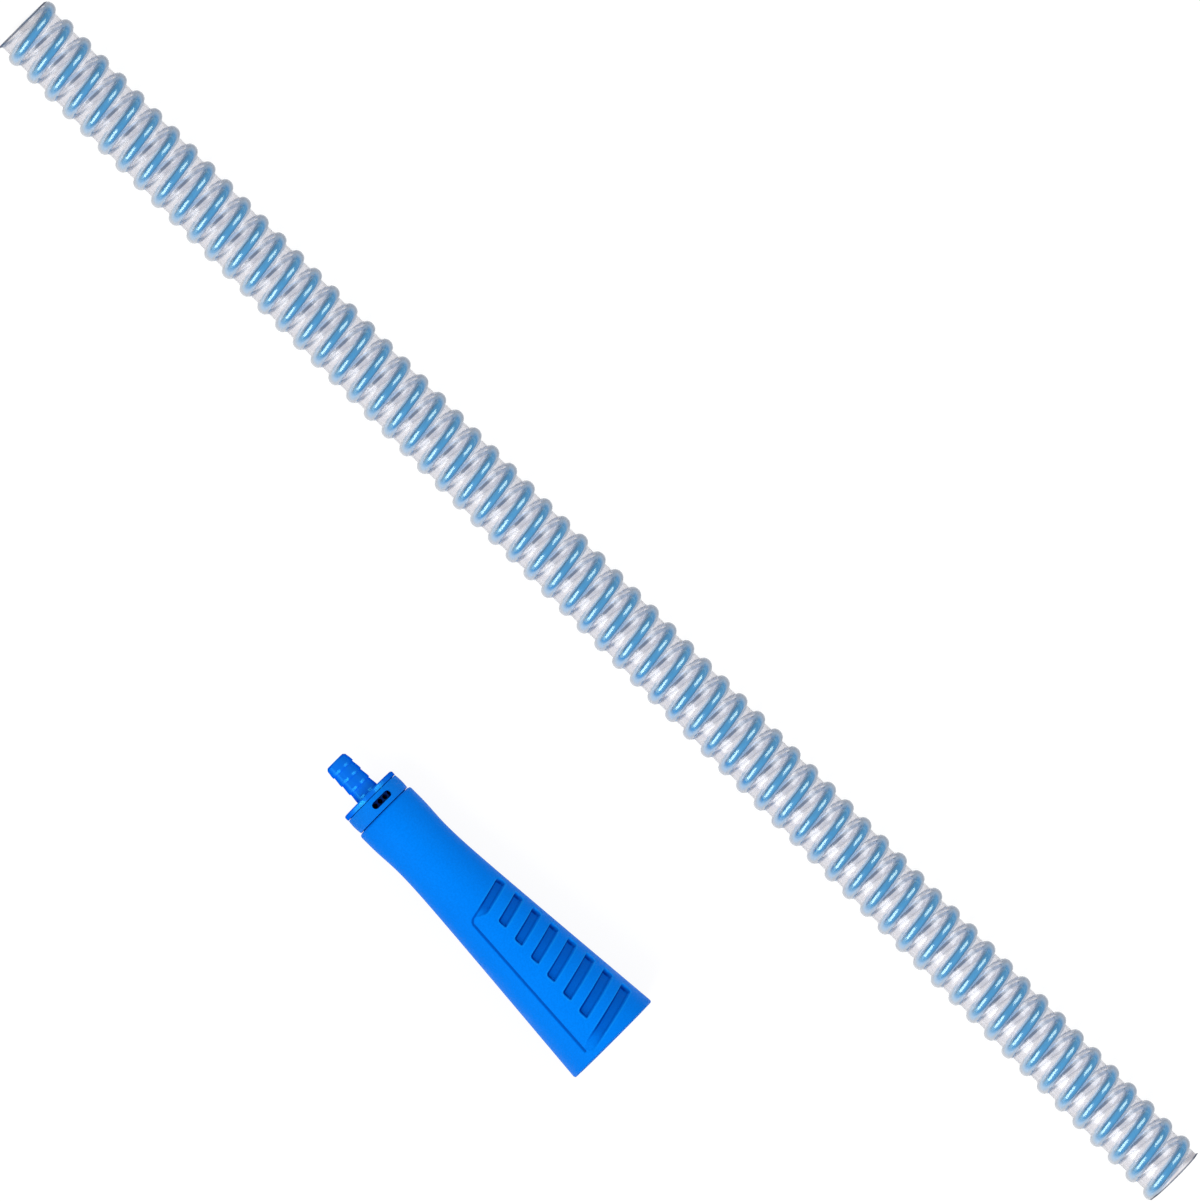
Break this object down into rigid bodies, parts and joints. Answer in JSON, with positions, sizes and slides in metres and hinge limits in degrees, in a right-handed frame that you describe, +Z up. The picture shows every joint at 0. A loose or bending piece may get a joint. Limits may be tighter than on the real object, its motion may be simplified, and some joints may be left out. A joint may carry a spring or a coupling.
{
  "type": "vacuum hose",
  "caption": "Clear suction hose with a rigid blue spiral rib, and its tapered adapter with a barbed spigot and a turning air-bleed ring.",
  "frame": {"origin": "centre of the bottom of the whole set's box, on the surface that the hose and the adapter lie on", "axes": "+X along the hose and towards the adapter's wide mouth, +Y across from the adapter to the hose, +Z up"},
  "size_m": [0.6274, 0.1502, 0.0416],
  "materials": {
    "clear_wall": "clear, slightly milky soft plastic, glossy",
    "spiral_blue": "glossy, rigid rod under a clear cover",
    "adapter_blue": "satin moulded plastic",
    "spigot_blue": "smooth moulded plastic",
    "ring_blue": "finely grained moulded plastic",
    "seal_rubber": "matt"
  },
  "bodies": {
    "hose_and_adapter": {"hose_tube": "clear_wall", "hose_spiral": "spiral_blue", "adapter_body": "adapter_blue", "spigot": "spigot_blue", "ring_seal_front": "seal_rubber", "ring_seal_rear": "seal_rubber"},
    "bleed_ring": {"bleed_ring": "ring_blue"}
  },
  "joints": [
    {"name": "bleed_ring_turn", "type": "hinge", "parent": "hose_and_adapter", "child": "bleed_ring", "pos_m": [-0.00483, -0.05427, 0.01324], "axis": [0.9982, 0, 0.0592], "continuous": true}
  ]
}
